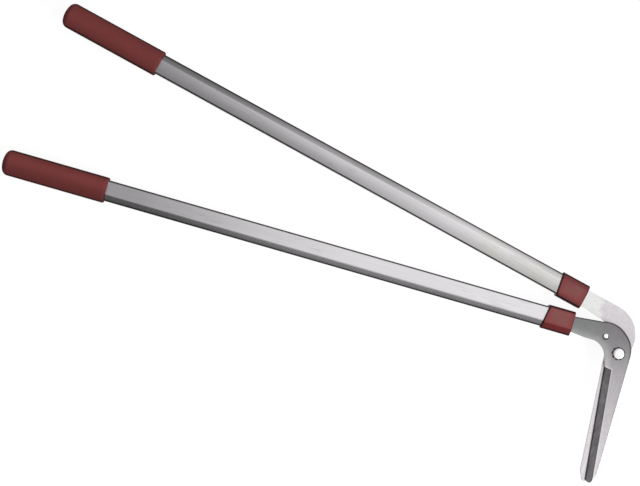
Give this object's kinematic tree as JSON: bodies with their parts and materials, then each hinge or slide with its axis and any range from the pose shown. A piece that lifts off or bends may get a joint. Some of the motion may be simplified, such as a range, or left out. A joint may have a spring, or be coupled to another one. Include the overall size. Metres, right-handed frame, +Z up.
{
  "type": "edging shears",
  "caption": "Long-handled lawn edging shears with tubular handles, sleeve grips and collars, and flat blades set square to the handles, turning on one bolt pivot.",
  "frame": {"origin": "on the axis of the pivot bolt, at the level that the shears lie on, which is the end face of the bolt", "axes": "+Z up along the pivot axis, out of the near blade; -X midway between the two handles towards the grips; the blades point towards -Y"},
  "size_m": [0.9362, 0.3482, 0.0366],
  "materials": {
    "near_blade_steel": "ground plate, lightly worn, with a dark sharpened bevel",
    "far_blade_steel": "bright ground plate",
    "bright_hardware": "polished",
    "dark_hardware": "blackened spring steel",
    "tube_metal": "drawn tube, satin, with fine lengthways lines",
    "collar_plastic": "moulded, satin, maroon",
    "grip_plastic": "moulded sleeve, matte, maroon",
    "inner_plastic": "moulded, black"
  },
  "bodies": {
    "lower_half": {"near_blade": "near_blade_steel", "pivot_bolt": "bright_hardware", "tooth_washer": "dark_hardware", "thrust_washer": "dark_hardware", "spring_washer": "dark_hardware", "lock_nut": "bright_hardware", "stop_pin": "bright_hardware", "lower_tube": "tube_metal", "lower_collar": "collar_plastic", "lower_socket": "inner_plastic", "lower_tang_pin": "dark_hardware", "lower_grip": "grip_plastic", "lower_end_plug": "inner_plastic"},
    "upper_half": {"far_blade": "far_blade_steel", "upper_tube": "tube_metal", "upper_collar": "collar_plastic", "upper_socket": "inner_plastic", "upper_tang_pin": "dark_hardware", "upper_grip": "grip_plastic", "upper_end_plug": "inner_plastic"}
  },
  "joints": [
    {"name": "blade_pivot", "type": "hinge", "parent": "lower_half", "child": "upper_half", "pos_m": [0, 0, 0.01832], "axis": [0, 0, -1], "range_deg": [0, 42]}
  ]
}
